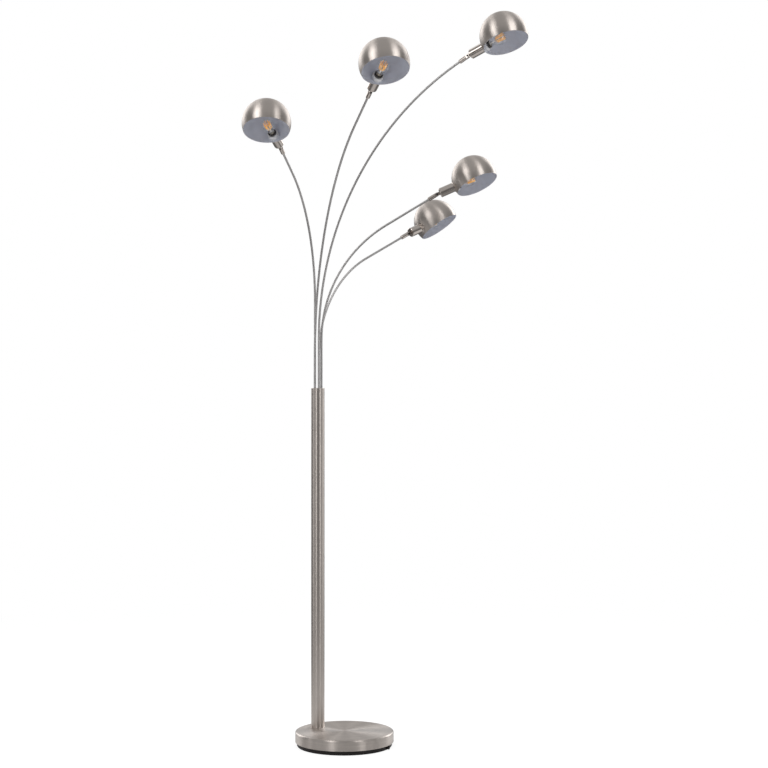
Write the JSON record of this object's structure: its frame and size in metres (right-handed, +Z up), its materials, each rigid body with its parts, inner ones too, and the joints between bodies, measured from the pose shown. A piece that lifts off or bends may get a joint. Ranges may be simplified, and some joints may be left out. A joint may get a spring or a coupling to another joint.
{
  "type": "floor lamp",
  "caption": "Floor lamp with a round weighted base, an off-centre pole and a fan of bent arms, each ending in a tilting globe shade with a cut mouth.",
  "frame": {"origin": "centre of the round base, on the floor", "axes": "+Z up; +X from the pole towards the base's centre, the way the arms fan out; +Y to the left of +X"},
  "size_m": [0.7155, 0.9497, 2.0112],
  "materials": {
    "satin_steel": "satin brushed, nickel coloured",
    "black_plastic": "black, fine grain",
    "soft_mat": "matte black foam sheet",
    "cast_weight": "rough casting",
    "zinc_steel": "plain zinc plated",
    "black_screw": "black oxide",
    "shade_steel": "satin brushed outside, white paint inside",
    "holder_plastic": "dark heat-proof moulding",
    "ring_plastic": "pale grey moulding",
    "terminal_plastic": "natural moulding",
    "bulb_metal": "plain bulb cap",
    "bulb_glass": "clear"
  },
  "bodies": {
    "stand": {"base_mat": "soft_mat", "base_pan": "black_plastic", "cable_gland": "black_plastic", "base_weight": "cast_weight", "base_cover": "satin_steel", "pole_washer": "zinc_steel", "pole_nut": "zinc_steel", "pole_stud": "zinc_steel", "pole_foot": "zinc_steel", "pole_tube": "satin_steel", "pole_coupling": "zinc_steel", "pole_sleeve": "satin_steel", "arm_hub": "satin_steel", "hub_screws": "zinc_steel", "terminal_block": "terminal_plastic"},
    "arm_1": {"arm_1_tube": "satin_steel", "arm_1_fork": "satin_steel", "arm_1_knuckle_screw": "black_screw"},
    "head_1": {"head_1_cup": "satin_steel", "head_1_lamp_holder": "holder_plastic", "head_1_shade_ring": "ring_plastic", "head_1_bulb_cap": "bulb_metal", "head_1_bulb_glass": "bulb_glass"},
    "shade_1": {"shade_1_globe": "shade_steel"},
    "arm_2": {"arm_2_tube": "satin_steel", "arm_2_fork": "satin_steel", "arm_2_knuckle_screw": "black_screw"},
    "head_2": {"head_2_cup": "satin_steel", "head_2_lamp_holder": "holder_plastic", "head_2_shade_ring": "ring_plastic", "head_2_bulb_cap": "bulb_metal", "head_2_bulb_glass": "bulb_glass"},
    "shade_2": {"shade_2_globe": "shade_steel"},
    "arm_3": {"arm_3_tube": "satin_steel", "arm_3_fork": "satin_steel", "arm_3_knuckle_screw": "black_screw"},
    "head_3": {"head_3_cup": "satin_steel", "head_3_lamp_holder": "holder_plastic", "head_3_shade_ring": "ring_plastic", "head_3_bulb_cap": "bulb_metal", "head_3_bulb_glass": "bulb_glass"},
    "shade_3": {"shade_3_globe": "shade_steel"},
    "arm_4": {"arm_4_tube": "satin_steel", "arm_4_fork": "satin_steel", "arm_4_knuckle_screw": "black_screw"},
    "head_4": {"head_4_cup": "satin_steel", "head_4_lamp_holder": "holder_plastic", "head_4_shade_ring": "ring_plastic", "head_4_bulb_cap": "bulb_metal", "head_4_bulb_glass": "bulb_glass"},
    "shade_4": {"shade_4_globe": "shade_steel"},
    "arm_5": {"arm_5_tube": "satin_steel", "arm_5_fork": "satin_steel", "arm_5_knuckle_screw": "black_screw"},
    "head_5": {"head_5_cup": "satin_steel", "head_5_lamp_holder": "holder_plastic", "head_5_shade_ring": "ring_plastic", "head_5_bulb_cap": "bulb_metal", "head_5_bulb_glass": "bulb_glass"},
    "shade_5": {"shade_5_globe": "shade_steel"}
  },
  "joints": [
    {"name": "arm_1_swivel", "type": "hinge", "parent": "stand", "child": "arm_1", "pos_m": [-0.10138, 0.00072, 1.009], "axis": [0, 0, 1], "range_deg": [-45, 10]},
    {"name": "head_1_tilt", "type": "hinge", "parent": "arm_1", "child": "head_1", "pos_m": [-0.01933, -0.28541, 1.65865], "axis": [-0.9613, -0.2756, 0], "range_deg": [-40, 40]},
    {"name": "shade_1_roll", "type": "hinge", "parent": "head_1", "child": "shade_1", "pos_m": [0.00997, -0.3876, 1.70532], "axis": [0.2524, -0.8802, 0.4019], "range_deg": [-97.5, 82.5]},
    {"name": "arm_2_swivel", "type": "hinge", "parent": "stand", "child": "arm_2", "pos_m": [-0.0949, -0.00964, 1.009], "axis": [0, 0, 1], "range_deg": [-10, 10]},
    {"name": "head_2_tilt", "type": "hinge", "parent": "arm_2", "child": "head_2", "pos_m": [0.29577, -0.326, 1.77405], "axis": [-0.6293, -0.7771, 0], "range_deg": [-40, 40]},
    {"name": "shade_2_roll", "type": "hinge", "parent": "head_2", "child": "shade_2", "pos_m": [0.37728, -0.392, 1.82385], "axis": [0.702, -0.5685, 0.4289], "range_deg": [-90, 90]},
    {"name": "arm_3_swivel", "type": "hinge", "parent": "stand", "child": "arm_3", "pos_m": [-0.08303, -0.00668, 1.009], "axis": [0, 0, 1], "range_deg": [-10, 10]},
    {"name": "head_3_tilt", "type": "hinge", "parent": "arm_3", "child": "head_3", "pos_m": [0.4033, -0.00668, 1.90424], "axis": [0, -1, 0], "range_deg": [-40, 40]},
    {"name": "shade_3_roll", "type": "hinge", "parent": "head_3", "child": "shade_3", "pos_m": [0.51155, -0.00668, 1.94623], "axis": [0.9323, 0, 0.3616], "range_deg": [-83, 97]},
    {"name": "arm_4_swivel", "type": "hinge", "parent": "stand", "child": "arm_4", "pos_m": [-0.08218, 0.00551, 1.009], "axis": [0, 0, 1], "range_deg": [-10, 10]},
    {"name": "head_4_tilt", "type": "hinge", "parent": "arm_4", "child": "head_4", "pos_m": [0.19279, 0.18889, 1.56276], "axis": [0.5548, -0.832, 0], "range_deg": [-40, 40]},
    {"name": "shade_4_roll", "type": "hinge", "parent": "head_4", "child": "shade_4", "pos_m": [0.2811, 0.24779, 1.6098], "axis": [0.7606, 0.5073, 0.4051], "range_deg": [-74, 106]},
    {"name": "arm_5_swivel", "type": "hinge", "parent": "stand", "child": "arm_5", "pos_m": [-0.09352, 0.01009, 1.009], "axis": [0, 0, 1], "range_deg": [-10, 45]},
    {"name": "head_5_tilt", "type": "hinge", "parent": "arm_5", "child": "head_5", "pos_m": [0.01336, 0.32584, 1.46941], "axis": [0.9472, -0.3206, 0], "range_deg": [-40, 40]},
    {"name": "shade_5_roll", "type": "hinge", "parent": "head_5", "child": "shade_5", "pos_m": [0.04782, 0.42766, 1.51328], "axis": [0.2968, 0.877, 0.3778], "range_deg": [-62.5, 117.5]}
  ]
}
